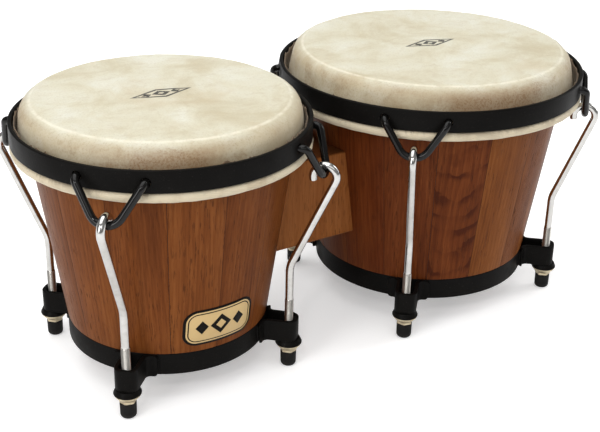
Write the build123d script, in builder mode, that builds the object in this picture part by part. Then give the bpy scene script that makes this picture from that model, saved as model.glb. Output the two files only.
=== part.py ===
from build123d import *
from math import acos, asin, atan2, cos, degrees, hypot, radians, sin, sqrt
import os

# Bongo drums: the small drum (macho) and the large drum (hembra), joined by a centre block.
# Millimetres, +Z up, the rubber feet stand on Z = 0, the drums lie side by side along X.

# ---- driving dimensions: the whole pair ----
drum_spacing = 216.0  # between the two drum axes
shell_height = 164.2  # from the bottom ring's lower edge to the bearing edge
shell_wall = 12.0
glue_line = 0.06  # saw-thin joint between two staves
bearing_round = 9.0  # outer round of the bearing edge
bearing_inner_round = 1.2

# ---- driving dimensions: each drum ----
# rim_radius: outside of the steel rim.  foot_radius: outside of the shell above the bottom ring.
# shell_gap: from the rim's outside in to the shell, at the height of the flesh hoop.
# lug_reach: from the ring's outside to the rod.  hook_reach: from the rim's outside to the hook.
drums = {
    "macho": {
        "rim_radius": 96.0,
        "foot_radius": 67.4,
        "shell_gap": 11.6,
        "lug_reach": 17.0,
        "hook_reach": 10.0,
        "stave_count": 14,
        "lug_turn": 0.0,
        "block_side": 1,
    },
    "hembra": {
        "rim_radius": 109.0,
        "foot_radius": 78.8,
        "shell_gap": 13.5,
        "lug_reach": 18.4,
        "hook_reach": 4.4,
        "stave_count": 16,
        "lug_turn": 2.1,
        "block_side": -1,
    },
}
corners = {"front_left": 225.0, "front_right": 315.0, "back_right": 45.0, "back_left": 135.0}

# ---- feet, nuts and cup washers, from the floor up ----
foot_height = 11.3
foot_radius = 5.4
foot_floor = 3.2  # rubber under the nut's barrel
foot_round = 1.2
nut_barrel_radius = 3.9
nut_hex_width = 10.0
nut_cone_rise = 2.3  # from the foot's top to where the hexagon widens into the flange
nut_flange_radius = 7.1
nut_flange_edge = 0.9
nut_height = 6.9  # above the foot
washer_web = 2.8  # steel between the nut and the lug strap
washer_lip = 1.0  # how far the cup's skirt hangs below the nut's top
washer_skirt_radius = 9.0
washer_crown_radius = 7.6
washer_edge = 0.9
running_clearance = 0.05
clearance = 0.3  # between pieces that move past each other

# ---- bottom ring and lug straps ----
ring_height = 15.2
ring_thickness = 2.5
ring_edge_round = 0.6
strap_thickness = 2.8
strap_width = 15.6
strap_nose = 6.3  # from the rod's axis to the strap's outer end
strap_foot = 8.0  # welded flare on each side
strap_corner = 4.8

# ---- tuning rods ----
rod_radius = 2.65
thread_growth = 0.3  # a rolled thread stands proud of its blank
thread_rise = 14.8  # thread showing above the strap
rod_end_gap = 1.4  # from the rubber's floor up to the rod
knee_rise = 38.8  # from the strap's top to where the rod leans outwards
rod_knee_round = 22.0
hook_round = 7.5
hook_drop = 15.4  # from the flesh hoop down to the hook's centre
hook_tip_angle = 186.0
hook_tip_length = 2.0

# ---- rim, claw loops ----
rim_height = 14.1
rim_thickness = 2.6
rim_edge_round = 0.7
claw_radius = 2.5
claw_half_spread = 20.7
claw_bottom_round = 11.0
claw_shoulder_round = 4.5
claw_stand_off = 1.8  # air between the rim and a claw's leg
claw_hole_ease = 0.02
contact_gap = 0.1

# ---- head: hide over a steel flesh hoop ----
hide_thickness = 1.4
hide_gap = 0.05
hoop_inset = 3.0  # from the rim's outside to the flesh hoop's centre
hoop_drop = 28.8  # from the bearing edge down to the flesh hoop
hoop_wire_radius = 1.8
tuck_rise = 11.1  # of the hide inside the rim
tuck_gap = 0.5

# ---- centre block and its screws ----
block_depth = 47.0
block_rise = 29.5  # from the bottom ring up to the block
block_height = 63.7
block_round = 2.0
joint_gap = 0.05
screw_rise = 17.0  # each screw above or below the block's middle
screw_radius = 3.0
screw_hole_ease = 0.2
screw_length = 30.0
screw_head_width = 10.0
screw_head_height = 4.0
screw_washer_radius = 7.5
screw_washer_thickness = 1.5
spot_radius = 8.2
spot_margin = 0.5

# ---- shell badge ----
badge_width = 50.0
badge_height = 27.0
badge_corner = 9.0
badge_thickness = 0.8
badge_rise = 18.3  # from the bottom ring to the badge's middle
badge_turn = 271.5

# ---- heights and radii that follow ----
thread_radius = rod_radius + thread_growth
nut_top = foot_height + nut_height
nut_cone_bottom = foot_height + nut_cone_rise
rod_end = foot_floor + rod_end_gap
ring_bottom = nut_top + washer_web
ring_top = ring_bottom + ring_height
shell_top = ring_bottom + shell_height
thread_top = ring_top + thread_rise
rod_knee = ring_top + knee_rise
block_bottom = ring_top + block_rise
badge_centre_height = ring_top + badge_rise
hoop_height = shell_top - hoop_drop
hook_height = hoop_height - hook_drop
roll_radius = hoop_wire_radius + hide_thickness
rim_bottom = hoop_height + roll_radius + clearance
rim_middle = rim_bottom + rim_height / 2
tuck_top = rim_bottom + tuck_rise
bar_height = hook_height + hook_round - rod_radius - claw_radius - contact_gap
block_middle = block_bottom + block_height / 2
far = 400.0  # longer than any piece that a cut passes through

half_step = (drums["hembra"]["rim_radius"] - drums["macho"]["rim_radius"]) / 2
drums["macho"]["x"] = -drum_spacing / 2 - half_step
drums["hembra"]["x"] = drum_spacing / 2 - half_step

for drum in drums.values():
    drum["hoop_radius"] = drum["rim_radius"] - hoop_inset
    drum["lug_circle"] = drum["foot_radius"] + drum["lug_reach"]
    drum["hook_circle"] = drum["rim_radius"] + drum["hook_reach"]
    drum["lean"] = (drum["rim_radius"] - drum["shell_gap"] - drum["foot_radius"]) / (
        hoop_height - roll_radius - ring_top
    )
    drum["angles"] = {corner: angle + drum["lug_turn"] for corner, angle in corners.items()}


def outer_radius(drum, height):
    """Outside of the tapered shell at a height."""
    return drum["foot_radius"] + drum["lean"] * (height - ring_top)


def axis_of(drum):
    return Axis((drum["x"], 0, 0), (0, 0, 1))


def profile_plane(drum):
    """Local X is the radius from the drum's axis, local Y is the height."""
    return Plane(origin=(drum["x"], 0, 0), x_dir=(1, 0, 0), z_dir=(0, -1, 0))


def side_plane(drum, angle):
    """As profile_plane, turned about the drum's axis."""
    turn = radians(angle)
    return Plane(
        origin=(drum["x"], 0, 0), x_dir=(cos(turn), sin(turn), 0), z_dir=(sin(turn), -cos(turn), 0)
    )


def level_plane(drum, angle, height):
    """Local X points out along an angle, local Y along the drum's tangent."""
    turn = radians(angle)
    return Plane(
        origin=(drum["x"], 0, height), x_dir=(cos(turn), sin(turn), 0), z_dir=(0, 0, 1)
    )


def facing_plane(drum, angle, height):
    """Looks out from the drum's axis: local X is the tangent, local Y is up."""
    turn = radians(angle)
    return Plane(
        origin=(drum["x"], 0, height), x_dir=(-sin(turn), cos(turn), 0), z_dir=(cos(turn), sin(turn), 0)
    )


def lug_plane(drum, angle):
    """A profile plane on the rod's own axis."""
    turn = radians(angle)
    middle = (drum["x"] + drum["lug_circle"] * cos(turn), drum["lug_circle"] * sin(turn), 0)
    return Plane(origin=middle, x_dir=(cos(turn), sin(turn), 0), z_dir=(sin(turn), -cos(turn), 0))


def lug_axis(drum, angle):
    return Axis(lug_plane(drum, angle).origin, (0, 0, 1))


def save(part, node):
    part.label = node
    export_step(part, f"parts/{node}.step")


def spot_face(drum, height):
    """Distance from the drum's axis to the flat seat of a block screw's washer."""
    return outer_radius(drum, height + spot_radius) - shell_wall + spot_margin


def screw_heights():
    return [block_middle - screw_rise, block_middle + screw_rise]


# ---- shell: glued staves, turned outside, rebated for the ring ----
def make_shell(drum):
    low = outer_radius(drum, ring_top)
    top = outer_radius(drum, shell_top)
    inner_low = outer_radius(drum, ring_bottom) - shell_wall
    with BuildPart() as shell:
        with BuildSketch(profile_plane(drum)):
            with BuildLine():
                FilletPolyline(
                    (inner_low, ring_bottom),
                    (low - ring_thickness, ring_bottom),
                    (low - ring_thickness, ring_top),
                    (low, ring_top),
                    (top, shell_top),
                    (top - shell_wall, shell_top),
                    radius=(0, 0, 0, 0, bearing_round, bearing_inner_round),
                    close=True,
                )
            make_face()
        revolve(axis=axis_of(drum))
        for height in screw_heights():
            seat = spot_face(drum, height)
            with BuildSketch(facing_plane(drum, 90 - 90 * drum["block_side"], height)):
                Circle(screw_radius + screw_hole_ease)
            extrude(amount=far / 2, mode=Mode.SUBTRACT)
            with BuildSketch(facing_plane(drum, 90 - 90 * drum["block_side"], height)):
                Circle(spot_radius)
            extrude(amount=seat, mode=Mode.SUBTRACT)
        with Locations((drum["x"], 0, shell_top / 2)):
            joints = drum["stave_count"] // 2
            with PolarLocations(0, joints, start_angle=90 / joints, angular_range=180):
                Box(far, glue_line, 2 * shell_top, mode=Mode.SUBTRACT)
    return shell.part


# ---- bottom ring: steel band in the shell's rebate ----
def make_bottom_ring(drum):
    outside = drum["foot_radius"]
    with BuildPart() as ring:
        with BuildSketch(profile_plane(drum)):
            with BuildLine():
                FilletPolyline(
                    (outside - ring_thickness, ring_bottom),
                    (outside, ring_bottom),
                    (outside, ring_top),
                    (outside - ring_thickness, ring_top),
                    radius=(0, ring_edge_round, ring_edge_round, 0),
                    close=True,
                )
            make_face()
        revolve(axis=axis_of(drum))
    return ring.part


# ---- lug straps: bent strips welded to the bottom ring ----
def make_lug_straps(drum):
    outside = drum["foot_radius"]
    foot_line = outside + strap_thickness / 2
    half = (strap_width - strap_thickness) / 2
    nose = drum["lug_circle"] + strap_nose - strap_thickness / 2
    root = sqrt(foot_line**2 - half**2)
    spread = (half + strap_foot) / foot_line
    tip = (foot_line * cos(spread), foot_line * sin(spread))
    with BuildPart() as straps:
        for angle in drum["angles"].values():
            with BuildSketch(level_plane(drum, angle, ring_bottom)):
                with BuildLine():
                    FilletPolyline(
                        (tip[0], -tip[1]),
                        (root, -half),
                        (nose, -half),
                        (nose, half),
                        (root, half),
                        (tip[0], tip[1]),
                        radius=strap_corner,
                    )
                trace(line_width=strap_thickness)
            extrude(amount=ring_height)
        with BuildSketch(Plane.XY.offset(ring_bottom)):
            with Locations((drum["x"], 0)):
                Circle(outside)
        extrude(amount=ring_height, mode=Mode.SUBTRACT)
    return straps.part


# ---- cup washers: the seats of the nuts under the straps ----
def make_cup_washers(drum):
    hole = thread_radius + clearance
    recess = nut_flange_radius + clearance
    with BuildPart() as washers:
        for angle in drum["angles"].values():
            with BuildSketch(lug_plane(drum, angle)):
                with BuildLine():
                    Polyline(
                        (hole, nut_top),
                        (recess, nut_top),
                        (recess, nut_top - washer_lip),
                        (washer_skirt_radius, nut_top - washer_lip),
                        (washer_skirt_radius, nut_top - washer_lip + washer_edge),
                        (washer_crown_radius, ring_bottom),
                        (hole, ring_bottom),
                        close=True,
                    )
                make_face()
            revolve(axis=lug_axis(drum, angle))
    return washers.part


# ---- tuning nut: flanged hexagon with a barrel that the rubber foot is pressed on ----
def make_nut(drum, angle):
    with BuildPart() as nut:
        with BuildSketch(lug_plane(drum, angle)):
            with BuildLine():
                Polyline(
                    (0, foot_floor),
                    (nut_barrel_radius, foot_floor),
                    (nut_barrel_radius, foot_height),
                    (nut_hex_width / 2, foot_height),
                    (nut_hex_width / 2, nut_cone_bottom),
                    (nut_flange_radius, nut_top - nut_flange_edge),
                    (nut_flange_radius, nut_top),
                    (0, nut_top),
                    close=True,
                )
            make_face()
        revolve(axis=lug_axis(drum, angle))
        middle = lug_plane(drum, angle).origin
        with BuildSketch(Plane(origin=(middle.X, middle.Y, foot_height))):
            RegularPolygon(nut_hex_width / 2, 6, major_radius=False, rotation=angle)
        extrude(amount=nut_top - nut_flange_edge - foot_height)
        with BuildSketch(Plane(origin=(middle.X, middle.Y, 0))):
            Circle(thread_radius + running_clearance)
        extrude(amount=nut_top, mode=Mode.SUBTRACT)
    return nut.part


# ---- rubber foot: a cap pressed on the nut's barrel ----
def make_foot(drum, angle):
    with BuildPart() as foot:
        with BuildSketch(lug_plane(drum, angle)):
            with BuildLine():
                FilletPolyline(
                    (0, 0),
                    (foot_radius, 0),
                    (foot_radius, foot_height),
                    (nut_barrel_radius, foot_height),
                    (nut_barrel_radius, foot_floor),
                    (0, foot_floor),
                    radius=(0, foot_round, 0, 0, 0, 0),
                    close=True,
                )
            make_face()
        revolve(axis=lug_axis(drum, angle))
    return foot.part


# ---- tuning rod: threaded foot, knee, sloping shank and a hook over the claw loop ----
def make_rod(drum, angle):
    across = drum["hook_circle"] - drum["lug_circle"]
    rise = hook_height - rod_knee
    slope = atan2(across, rise) + asin(hook_round / hypot(across, rise))
    touch = (
        drum["hook_circle"] + hook_round * cos(slope),
        hook_height - hook_round * sin(slope),
    )
    with BuildPart() as rod:
        with BuildLine(side_plane(drum, angle)) as path:
            FilletPolyline(
                (drum["lug_circle"], rod_end),
                (drum["lug_circle"], rod_knee),
                touch,
                radius=rod_knee_round,
            )
            CenterArc(
                (drum["hook_circle"], hook_height),
                hook_round,
                -degrees(slope),
                degrees(slope) + hook_tip_angle,
            )
            tip = radians(hook_tip_angle)
            end = (
                drum["hook_circle"] + hook_round * cos(tip) - hook_tip_length * sin(tip),
                hook_height + hook_round * sin(tip) + hook_tip_length * cos(tip),
            )
            Line(
                (
                    drum["hook_circle"] + hook_round * cos(tip),
                    hook_height + hook_round * sin(tip),
                ),
                end,
            )
        bar = path.wire()
        with BuildSketch(Plane(origin=bar @ 0, z_dir=bar % 0)):
            Circle(rod_radius)
        sweep(path=bar)
        with BuildSketch(Plane(origin=bar @ 0, z_dir=(0, 0, 1))):
            Circle(thread_radius)
        extrude(amount=thread_top - rod_end)
    return rod.part


# ---- rim: steel band drilled for the claw loops ----
def make_rim(drum):
    outside = drum["rim_radius"]
    with BuildPart() as rim:
        with BuildSketch(profile_plane(drum)):
            with BuildLine():
                FilletPolyline(
                    (outside - rim_thickness, rim_bottom),
                    (outside, rim_bottom),
                    (outside, rim_bottom + rim_height),
                    (outside - rim_thickness, rim_bottom + rim_height),
                    radius=rim_edge_round,
                    close=True,
                )
            make_face()
        revolve(axis=axis_of(drum))
        for angle in drum["angles"].values():
            with BuildSketch(facing_plane(drum, angle, rim_middle)):
                with Locations((-claw_half_spread, 0), (claw_half_spread, 0)):
                    Circle(claw_radius + claw_hole_ease)
            extrude(amount=outside + rim_thickness, mode=Mode.SUBTRACT)
    return rim.part


def claw_corner_depth(length):
    """Where a loop's two legs would meet, measured from the pegs down the loop's slope."""
    round_share = claw_bottom_round**2
    spread_share = claw_half_spread**2
    reach = length - claw_bottom_round
    a = spread_share - round_share
    b = -2 * spread_share * reach
    c = spread_share * (reach**2 - round_share)
    return (-b + sqrt(b**2 - 4 * a * c)) / (2 * a)


# ---- claw loops: bent bars through the rim, which the rods hook on ----
def make_claw_loops(drum):
    leg_radius = drum["rim_radius"] + claw_stand_off + claw_radius
    top = sqrt(leg_radius**2 - claw_half_spread**2)
    inside = sqrt((drum["rim_radius"] - rim_thickness) ** 2 - claw_half_spread**2)
    run = drum["hook_circle"] - top
    drop = rim_middle - bar_height
    length = hypot(run, drop)
    share = claw_corner_depth(length) / length
    corner = (top + share * run, 0, rim_middle - share * drop)
    with BuildPart() as claws:
        for angle in drum["angles"].values():
            with BuildLine(level_plane(drum, angle, 0)) as path:
                FilletPolyline(
                    (inside - rim_thickness, claw_half_spread, rim_middle),
                    (top, claw_half_spread, rim_middle),
                    corner,
                    (top, -claw_half_spread, rim_middle),
                    (inside - rim_thickness, -claw_half_spread, rim_middle),
                    radius=(claw_shoulder_round, claw_bottom_round, claw_shoulder_round),
                )
            bar = path.wire()
            with BuildSketch(Plane(origin=bar @ 0, z_dir=bar % 0)):
                Circle(claw_radius)
            sweep(path=bar)
        with BuildSketch(Plane.XY.offset(rim_bottom)):
            with Locations((drum["x"], 0)):
                Circle(drum["rim_radius"] - rim_thickness)
        extrude(amount=rim_height, mode=Mode.SUBTRACT)
    return claws.part


# ---- hide: drawn over the bearing edge and lapped round the flesh hoop ----
def make_hide(drum):
    middle_round = bearing_round + hide_gap + hide_thickness / 2
    bend_radius = (
        outer_radius(drum, shell_top - bearing_round)
        - bearing_round * sqrt(1 + drum["lean"] ** 2)
    )
    bend_height = shell_top - bearing_round
    lap_round = roll_radius - hide_thickness / 2
    across = drum["hoop_radius"] - bend_radius
    drop = hoop_height - bend_height
    tilt = atan2(drop, across) + acos((middle_round + lap_round) / hypot(across, drop))
    skirt_top = (bend_radius + middle_round * cos(tilt), bend_height + middle_round * sin(tilt))
    skirt_foot = (
        drum["hoop_radius"] - lap_round * cos(tilt),
        hoop_height - lap_round * sin(tilt),
    )
    tuck_inner = drum["rim_radius"] - rim_thickness - tuck_gap - hide_thickness
    with BuildPart() as hide:
        with BuildSketch(profile_plane(drum)):
            with BuildLine():
                Line((0, bend_height + middle_round), (bend_radius, bend_height + middle_round))
                CenterArc((bend_radius, bend_height), middle_round, 90, degrees(tilt) - 90)
                Line(skirt_top, skirt_foot)
            trace(line_width=hide_thickness)
            with Locations((drum["hoop_radius"], hoop_height)):
                Circle(roll_radius)
            with BuildLine():
                Polyline(
                    (tuck_inner, hoop_height),
                    (tuck_inner + hide_thickness, hoop_height),
                    (tuck_inner + hide_thickness, tuck_top),
                    (tuck_inner, tuck_top),
                    close=True,
                )
            make_face()
            with Locations((drum["hoop_radius"], hoop_height)):
                Circle(hoop_wire_radius + hide_gap, mode=Mode.SUBTRACT)
        revolve(axis=axis_of(drum))
    return hide.part


# ---- flesh hoop: steel wire ring inside the lapped hide ----
def make_flesh_hoop(drum):
    with BuildPart() as hoop:
        with BuildSketch(profile_plane(drum)):
            with Locations((drum["hoop_radius"], hoop_height)):
                Circle(hoop_wire_radius)
        revolve(axis=axis_of(drum))
    return hoop.part


# ---- centre block, hollowed at both ends to the shells ----
def make_block():
    with BuildPart() as block:
        with BuildSketch(Plane.XY.offset(block_bottom)):
            with Locations(((drums["macho"]["x"] + drums["hembra"]["x"]) / 2, 0)):
                Rectangle(drum_spacing, block_depth)
        extrude(amount=block_height)
        fillet(block.edges().filter_by(Axis.X), radius=block_round)
        for drum in drums.values():
            with BuildSketch(profile_plane(drum)):
                with BuildLine():
                    Polyline(
                        (0, ring_top),
                        (outer_radius(drum, ring_top) + joint_gap, ring_top),
                        (outer_radius(drum, shell_top) + joint_gap, shell_top),
                        (0, shell_top),
                        close=True,
                    )
                make_face()
            revolve(axis=axis_of(drum), mode=Mode.SUBTRACT)
            for height in screw_heights():
                with BuildSketch(facing_plane(drum, 90 - 90 * drum["block_side"], height)):
                    Circle(screw_radius)
                extrude(amount=spot_face(drum, height) + screw_length, mode=Mode.SUBTRACT)
    return block.part


# ---- block screws and their washers, inside each shell ----
def make_block_screws(drum):
    facing = 90 - 90 * drum["block_side"]
    with BuildPart() as screws:
        for height in screw_heights():
            plane = facing_plane(drum, facing, height)
            seat = spot_face(drum, height)
            with BuildSketch(plane.offset(seat - screw_washer_thickness - screw_head_height)):
                RegularPolygon(screw_head_width / 2, 6, major_radius=False)
            extrude(amount=screw_head_height)
            with BuildSketch(plane.offset(seat - screw_washer_thickness)):
                Circle(screw_radius)
            extrude(amount=screw_washer_thickness + screw_length)
    return screws.part


def make_screw_washers(drum):
    facing = 90 - 90 * drum["block_side"]
    with BuildPart() as washers:
        for height in screw_heights():
            seat = spot_face(drum, height)
            plane = facing_plane(drum, facing, height)
            with BuildSketch(plane.offset(seat - screw_washer_thickness)):
                Circle(screw_washer_radius)
                Circle(screw_radius + screw_hole_ease, mode=Mode.SUBTRACT)
            extrude(amount=screw_washer_thickness)
    return washers.part


# ---- badge: thin plate bent to the small drum's shell ----
def make_badge(drum):
    with BuildPart() as badge:
        with BuildSketch(facing_plane(drum, badge_turn, badge_centre_height)):
            RectangleRounded(badge_width, badge_height, badge_corner)
        extrude(amount=drum["rim_radius"])
        with BuildSketch(profile_plane(drum)):
            with BuildLine():
                Polyline(
                    (outer_radius(drum, ring_top) + joint_gap, ring_top),
                    (outer_radius(drum, ring_top) + badge_thickness, ring_top),
                    (outer_radius(drum, shell_top) + badge_thickness, shell_top),
                    (outer_radius(drum, shell_top) + joint_gap, shell_top),
                    close=True,
                )
            make_face()
        revolve(axis=axis_of(drum), mode=Mode.INTERSECT)
    return badge.part


os.makedirs("parts", exist_ok=True)
for name, drum in drums.items():
    save(make_shell(drum), f"{name}_shell")
    save(make_bottom_ring(drum), f"{name}_bottom_ring")
    save(make_lug_straps(drum), f"{name}_lug_straps")
    save(make_cup_washers(drum), f"{name}_cup_washers")
    save(make_rim(drum), f"{name}_rim")
    save(make_claw_loops(drum), f"{name}_claw_loops")
    save(make_hide(drum), f"{name}_hide")
    save(make_flesh_hoop(drum), f"{name}_flesh_hoop")
    save(make_block_screws(drum), f"{name}_block_screws")
    save(make_screw_washers(drum), f"{name}_screw_washers")
    for corner, angle in drum["angles"].items():
        save(make_rod(drum, angle), f"{name}_rod_{corner}")
        save(make_nut(drum, angle), f"{name}_nut_{corner}")
        save(make_foot(drum, angle), f"{name}_foot_{corner}")
save(make_block(), "centre_block")
save(make_badge(drums["macho"]), "shell_badge")
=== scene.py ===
import random
from math import acos, asin, atan2, ceil, cos, hypot, pi, radians, sin, sqrt, tan

import bmesh
import bpy
import numpy as np
from mathutils import Matrix, Vector, noise


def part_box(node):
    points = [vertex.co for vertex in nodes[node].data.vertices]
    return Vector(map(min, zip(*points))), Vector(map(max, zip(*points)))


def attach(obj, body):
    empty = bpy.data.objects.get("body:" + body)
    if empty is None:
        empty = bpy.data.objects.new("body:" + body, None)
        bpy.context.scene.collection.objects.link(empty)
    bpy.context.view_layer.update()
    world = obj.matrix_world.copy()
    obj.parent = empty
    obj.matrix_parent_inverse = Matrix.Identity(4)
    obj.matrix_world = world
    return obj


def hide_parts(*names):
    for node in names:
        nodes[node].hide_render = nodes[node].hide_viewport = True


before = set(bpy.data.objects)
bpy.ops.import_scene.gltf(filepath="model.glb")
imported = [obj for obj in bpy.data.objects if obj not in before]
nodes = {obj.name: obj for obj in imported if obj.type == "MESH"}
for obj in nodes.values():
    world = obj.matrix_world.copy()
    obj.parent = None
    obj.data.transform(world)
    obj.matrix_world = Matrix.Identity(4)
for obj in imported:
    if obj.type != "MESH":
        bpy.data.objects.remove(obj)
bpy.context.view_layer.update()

mm = 0.001
drumNames = ("macho", "hembra")
cornerNames = ("front_left", "front_right", "back_right", "back_left")


def boxOf(node):
    low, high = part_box(node)
    return Vector(low), Vector(high)


rodShape = {"radius": 2.65 * mm, "hookRound": 7.5 * mm, "kneeHeight": 75 * mm, "kneeRound": 22 * mm,
            "threadRadius": 2.95 * mm, "threadTop": 51 * mm, "threadPitch": 1.0 * mm, "threadDepth": 0.42 * mm,
            "tipAngle": 186, "tipLength": 2 * mm, "sides": 28}
clawShape = {"radius": 2.5 * mm, "halfSpread": 20.7 * mm, "bottomRound": 11 * mm, "shoulderRound": 4.5 * mm}
shellShape = {"wall": 12 * mm, "bearingRound": 9 * mm, "innerRound": 1.2 * mm, "seam": 0.08 * mm,
              "ease": 0.12 * mm, "rebate": 2.5 * mm,
              "staves": {"macho": 14, "hembra": 16},
              "figured": {"macho": (2,), "hembra": (3, 11)},
              # each stave's tint, 0 pale to 1 dark: partly the wood's own tone and partly painted light, with the
              # small drum's staves 9 and 10 darkest as painted shade where the big drum shades them, and the big
              # drum's staves 7 and 8 and the small drum's stave 14 paler as painted sheen
              "tintsAndShade": {"macho": (0.4, 0.7, 0.6, 0.3, 0.8, 0.5, 0.3, 0.20, 0.28, 0.44, 0.30, 0.42, 0.36, 0.56),
                        "hembra": (0.2, 0.6, 0.4, 0.8, 0.5, 0.3, 0.7, 0.5, 0.8, 1.0,
                                   0.92, 0.86, 0.10, 0.30, 0.20, 0.6)}}
hideShape = {"thickness": 1.4 * mm, "gap": 0.05 * mm, "wire": 1.8 * mm, "tuckGap": 0.5 * mm, "tuckDrop": 2.0 * mm,
             "lapTurn": 262, "around": 384, "ripple": 0.16 * mm, "pleat": 0.42 * mm,
             "ragged": {9: 2.6 * mm, 41: 2.2 * mm, 97: 1.5 * mm}}


def readDrum(name):
    # all the sizes of one drum, worked out from its nodes' boxes
    drum = {"name": name, "body": "frame", "rimBody": name + "_rim_set"}
    low, high = boxOf(name + "_rim")
    drum["x"] = (low.x + high.x) / 2
    drum["rimRadius"] = (high.x - low.x) / 2
    drum["rimLow"], drum["rimHigh"] = low.z, high.z
    low, high = boxOf(name + "_bottom_ring")
    drum["footRadius"] = (high.x - low.x) / 2
    drum["ringLow"], drum["ringHigh"] = low.z, high.z
    low, high = boxOf(name + "_shell")
    drum["shellTop"] = high.z
    bend = high.z - shellShape["bearingRound"]
    drum["lean"] = ((high.x - low.x) / 2 + 0.09 * mm - drum["footRadius"]) / (bend - drum["ringHigh"])
    low, high = boxOf(name + "_hide")
    roll = hideShape["wire"] + hideShape["thickness"]
    drum["hoopRadius"] = (high.x - low.x) / 2 - roll
    drum["hoopHeight"] = low.z + roll
    drum["lugs"] = {}
    for corner in cornerNames:
        low, high = boxOf(name + "_foot_" + corner)
        middle = (low + high) / 2
        drum["lugs"][corner] = atan2(middle.y, middle.x - drum["x"])
        drum["lugCircle"] = hypot(middle.x - drum["x"], middle.y)
    low, high = boxOf(name + "_rod_back_right")
    turn = drum["lugs"]["back_right"]
    reach = (high.x - drum["x"] - rodShape["radius"]) / cos(turn)
    drum["hookCircle"] = reach - rodShape["hookRound"]
    drum["hookHeight"] = high.z - rodShape["hookRound"] - rodShape["radius"]
    drum["rodEnd"] = low.z
    low, high = boxOf(name + "_claw_loops")
    drum["barHeight"] = low.z + clawShape["radius"]
    return drum


drums = {name: readDrum(name) for name in drumNames}
print("frame read", {name: round(drum["rimRadius"], 4) for name, drum in drums.items()})


def outerRadius(drum, height):
    return drum["footRadius"] + drum["lean"] * (height - drum["ringHigh"])


def makePiece(name, verts, faces, smoothAngle=38, marks=None):
    mesh = bpy.data.meshes.new(name)
    mesh.from_pydata([tuple(v) for v in verts], [], [tuple(f) for f in faces])
    for markName, (kind, values) in (marks or {}).items():
        layer = mesh.attributes.new(markName, kind, "POINT")
        field = "vector" if kind == "FLOAT_VECTOR" else "value"
        layer.data.foreach_set(field, np.asarray(values, np.float32).ravel())
    work = bmesh.new()
    work.from_mesh(mesh)
    bmesh.ops.remove_doubles(work, verts=work.verts, dist=1e-7)
    bmesh.ops.recalc_face_normals(work, faces=work.faces)
    work.to_mesh(mesh)
    work.free()
    mesh.polygons.foreach_set("use_smooth", [True] * len(mesh.polygons))
    mesh.set_sharp_from_angle(angle=radians(smoothAngle))
    piece = bpy.data.objects.new(name, mesh)
    bpy.context.scene.collection.objects.link(piece)
    return piece


def joinPieces(name, parts):
    # one piece from several of the same kind, such as the four loops of a drum
    work = bmesh.new()
    for part in parts:
        work.from_mesh(part.data)
    mesh = bpy.data.meshes.new(name)
    work.to_mesh(mesh)
    work.free()
    for part in parts:
        bpy.data.objects.remove(part)
    piece = bpy.data.objects.new(name, mesh)
    bpy.context.scene.collection.objects.link(piece)
    return piece


def roundCorners(points, radii, closed=True, steps=6):
    # points of a polyline, in 2-D or 3-D, with an arc at each corner
    points = [Vector(p) for p in points]
    count = len(points)
    result = []
    for i, point in enumerate(points):
        radius = radii if isinstance(radii, (int, float)) else radii[i]
        if radius <= 0 or (not closed and i in (0, count - 1)):
            result.append(point)
            continue
        before = (points[i - 1] - point).normalized()
        after = (points[(i + 1) % count] - point).normalized()
        half = before.angle(after) / 2
        reach = radius / tan(half)
        middle = point + (before + after).normalized() * (radius / sin(half))
        start = point + before * reach - middle
        end = point + after * reach - middle
        sweepAngle = start.angle(end)
        for k in range(steps + 1):
            t = k / steps
            spread = sin(sweepAngle)
            result.append(middle + start * (sin((1 - t) * sweepAngle) / spread)
                          + end * (sin(t * sweepAngle) / spread))
    return result


def bandOutline(inside, outside, low, high):
    return [(inside, low), (outside, low), (outside, high), (inside, high)]


def joinRings(first, second, size):
    # quads between two rings of size points that start at first and second
    return [(first + k, second + k, second + (k + 1) % size, first + (k + 1) % size) for k in range(size)]


def revolve(name, centre, profile, count=180, smoothAngle=38):
    # a closed outline of (radius, height) turned about an upright axis
    verts, faces = [], []
    size = len(profile)
    for i in range(count):
        turn = 2 * pi * i / count
        verts += [(centre[0] + r * cos(turn), centre[1] + r * sin(turn), z) for r, z in profile]
    for i in range(count):
        j = (i + 1) % count
        for k in range(size):
            m = (k + 1) % size
            if profile[k][0] < 1e-9 and profile[m][0] < 1e-9:
                continue
            quad = [i * size + k, j * size + k, j * size + m, i * size + m]
            if profile[k][0] < 1e-9:
                quad = [i * size + k, j * size + m, i * size + m]
            elif profile[m][0] < 1e-9:
                quad = [i * size + k, j * size + k, i * size + m]
            faces.append(quad)
    return makePiece(name, verts, faces, smoothAngle)


def densePath(path, step):
    # the same line with points no further apart than step
    result = [Vector(path[0])]
    for a, b in zip(path, path[1:]):
        parts = max(1, ceil((Vector(b) - Vector(a)).length / step))
        result += [Vector(a).lerp(Vector(b), k / parts) for k in range(1, parts + 1)]
    return result


def sweepSection(name, path, sectionAt, side=None, smoothAngle=38):
    # a closed section carried along a path. side fixes the section's second axis; without it the section doesn't twist
    path = [Vector(p) for p in path]
    verts, faces = [], []
    tangents = []
    for i in range(len(path)):
        a, b = path[max(i - 1, 0)], path[min(i + 1, len(path) - 1)]
        tangents.append((b - a).normalized())
    second = Vector(side) if side else tangents[0].orthogonal().normalized()
    distance = 0.0
    size = 0
    for i, point in enumerate(path):
        if i:
            distance += (point - path[i - 1]).length
            if not side:
                second = tangents[i - 1].rotation_difference(tangents[i]) @ second
        first = second.cross(tangents[i]).normalized()
        section = sectionAt(i, distance)
        size = len(section)
        verts += [point + first * a + second * b for a, b in section]
    for i in range(len(path) - 1):
        faces += joinRings(i * size, (i + 1) * size, size)
    faces += [tuple(range(size)), tuple(range((len(path) - 1) * size, len(path) * size))[::-1]]
    return makePiece(name, verts, faces, smoothAngle)


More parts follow.
